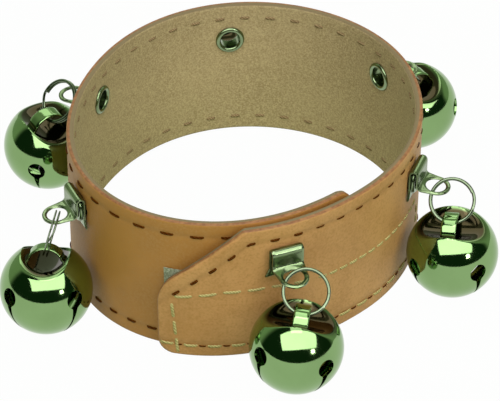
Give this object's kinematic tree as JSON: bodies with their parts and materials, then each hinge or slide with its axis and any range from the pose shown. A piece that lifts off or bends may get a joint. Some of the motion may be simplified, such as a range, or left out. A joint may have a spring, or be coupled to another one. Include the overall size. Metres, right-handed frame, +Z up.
{
  "type": "leather bell band",
  "caption": "Leather wrist or ankle band that laps over and closes with hook-and-loop tape, carrying jingle bells on split rings and folded metal hangers.",
  "frame": {"origin": "on the ground, under the middle of the whole band with its bells", "axes": "+Z up along the strap's width, -Y towards the lapped front with the flap's end, +X to the right as seen from the front"},
  "size_m": [0.1328, 0.1496, 0.0415],
  "materials": {
    "leather": "natural tan, smooth outside and suede inside",
    "tape": "woven hook and loop tape",
    "plated_steel": "bright nickel plate",
    "ring_wire": "bright nickel-plated wire",
    "bell_nickel": "polished nickel plate",
    "ball_steel": "plain steel"
  },
  "bodies": {
    "band": {"leather_strap": "leather", "hook_strip": "tape", "loop_strip": "tape", "eyelet_front": "plated_steel", "hanger_front": "plated_steel", "eyelet_right_front": "plated_steel", "hanger_right_front": "plated_steel", "eyelet_right_back": "plated_steel", "hanger_right_back": "plated_steel", "eyelet_back": "plated_steel", "hanger_back": "plated_steel", "eyelet_left_back": "plated_steel", "hanger_left_back": "plated_steel", "eyelet_left_front": "plated_steel", "hanger_left_front": "plated_steel"},
    "ring_front": {"split_ring_front": "ring_wire"},
    "bell_front": {"bell_shell_front": "bell_nickel"},
    "ball_front": {"rattle_ball_front": "ball_steel"},
    "ring_right_front": {"split_ring_right_front": "ring_wire"},
    "bell_right_front": {"bell_shell_right_front": "bell_nickel"},
    "ball_right_front": {"rattle_ball_right_front": "ball_steel"},
    "ring_right_back": {"split_ring_right_back": "ring_wire"},
    "bell_right_back": {"bell_shell_right_back": "bell_nickel"},
    "ball_right_back": {"rattle_ball_right_back": "ball_steel"},
    "ring_back": {"split_ring_back": "ring_wire"},
    "bell_back": {"bell_shell_back": "bell_nickel"},
    "ball_back": {"rattle_ball_back": "ball_steel"},
    "ring_left_back": {"split_ring_left_back": "ring_wire"},
    "bell_left_back": {"bell_shell_left_back": "bell_nickel"},
    "ball_left_back": {"rattle_ball_left_back": "ball_steel"},
    "ring_left_front": {"split_ring_left_front": "ring_wire"},
    "bell_left_front": {"bell_shell_left_front": "bell_nickel"},
    "ball_left_front": {"rattle_ball_left_front": "ball_steel"}
  },
  "joints": [
    {"name": "ring_swing_front", "type": "hinge", "parent": "band", "child": "ring_front", "pos_m": [0.01535, -0.05596, 0.02909], "axis": [-0.9983, 0.052, 0.0258], "range_deg": [-3, 5]},
    {"name": "bell_swing_front", "type": "hinge", "parent": "ring_front", "child": "bell_front", "pos_m": [0.01417, -0.06184, 0.02221], "axis": [-0.9845, 0.1303, 0.1175], "range_deg": [-6, 30]},
    {"name": "ball_rattle_front", "type": "slide", "parent": "bell_front", "child": "ball_front", "axis": [0.1281, 0.0769, 0.9888], "range_m": [0, 0.0115]},
    {"name": "ring_swing_right_front", "type": "hinge", "parent": "band", "child": "ring_right_front", "pos_m": [0.05254, -0.01884, 0.02925], "axis": [-0.9038, -0.0463, -0.4254], "range_deg": [-9, 14]},
    {"name": "bell_swing_right_front", "type": "hinge", "parent": "ring_right_front", "child": "bell_right_front", "pos_m": [0.05331, -0.02418, 0.02227], "axis": [-0.9704, 0.2291, -0.0759], "range_deg": [-8, 30]},
    {"name": "ball_rattle_right_front", "type": "slide", "parent": "bell_right_front", "child": "ball_right_front", "axis": [-0.0903, -0.0527, 0.9945], "range_m": [0, 0.0115]},
    {"name": "ring_swing_right_back", "type": "hinge", "parent": "band", "child": "ring_right_back", "pos_m": [0.04161, 0.03798, 0.02959], "axis": [0.5971, -0.7934, -0.118], "range_deg": [-2, 13]},
    {"name": "bell_swing_right_back", "type": "hinge", "parent": "ring_right_back", "child": "bell_right_back", "pos_m": [0.04621, 0.04158, 0.0223], "axis": [0.5336, -0.8456, -0.0158], "range_deg": [-3, 30]},
    {"name": "ball_rattle_right_back", "type": "slide", "parent": "bell_right_back", "child": "ball_right_back", "axis": [-0.0491, -0.0496, 0.9976], "range_m": [0, 0.0115]},
    {"name": "ring_swing_back", "type": "hinge", "parent": "band", "child": "ring_back", "pos_m": [-0.00905, 0.05557, 0.02962], "axis": [0.9823, 0.1871, -0.001], "range_deg": [-2, 10]},
    {"name": "bell_swing_back", "type": "hinge", "parent": "ring_back", "child": "bell_back", "pos_m": [-0.01014, 0.06131, 0.02222], "axis": [0.9825, 0.1865, -0.0003], "range_deg": [-4, 30]},
    {"name": "ball_rattle_back", "type": "slide", "parent": "bell_back", "child": "ball_back", "axis": [0.0262, -0.1367, 0.9903], "range_m": [0, 0.0115]},
    {"name": "ring_swing_left_back", "type": "hinge", "parent": "band", "child": "ring_left_back", "pos_m": [-0.04895, 0.02476, 0.02941], "axis": [-0.6236, 0.7813, -0.0273], "range_deg": [-4, 14]},
    {"name": "bell_swing_left_back", "type": "hinge", "parent": "ring_left_back", "child": "bell_left_back", "pos_m": [-0.05413, 0.02156, 0.02226], "axis": [-0.5361, 0.8387, 0.0958], "range_deg": [-6, 30]},
    {"name": "ball_rattle_left_back", "type": "slide", "parent": "bell_left_back", "child": "ball_left_back", "axis": [0.0033, -0.1114, 0.9938], "range_m": [0, 0.0115]},
    {"name": "ring_swing_left_front", "type": "hinge", "parent": "band", "child": "ring_left_front", "pos_m": [-0.04899, -0.03392, 0.02938], "axis": [-0.1112, 0.6801, -0.7246], "range_deg": [-3, 14]},
    {"name": "bell_swing_left_front", "type": "hinge", "parent": "ring_left_front", "child": "bell_left_front", "pos_m": [-0.05138, -0.03718, 0.02208], "axis": [0.0631, 0.9737, -0.2187], "range_deg": [-5, 30]},
    {"name": "ball_rattle_left_front", "type": "slide", "parent": "bell_left_front", "child": "ball_left_front", "axis": [0.0073, 0.2187, 0.9758], "range_m": [0, 0.0115]}
  ]
}
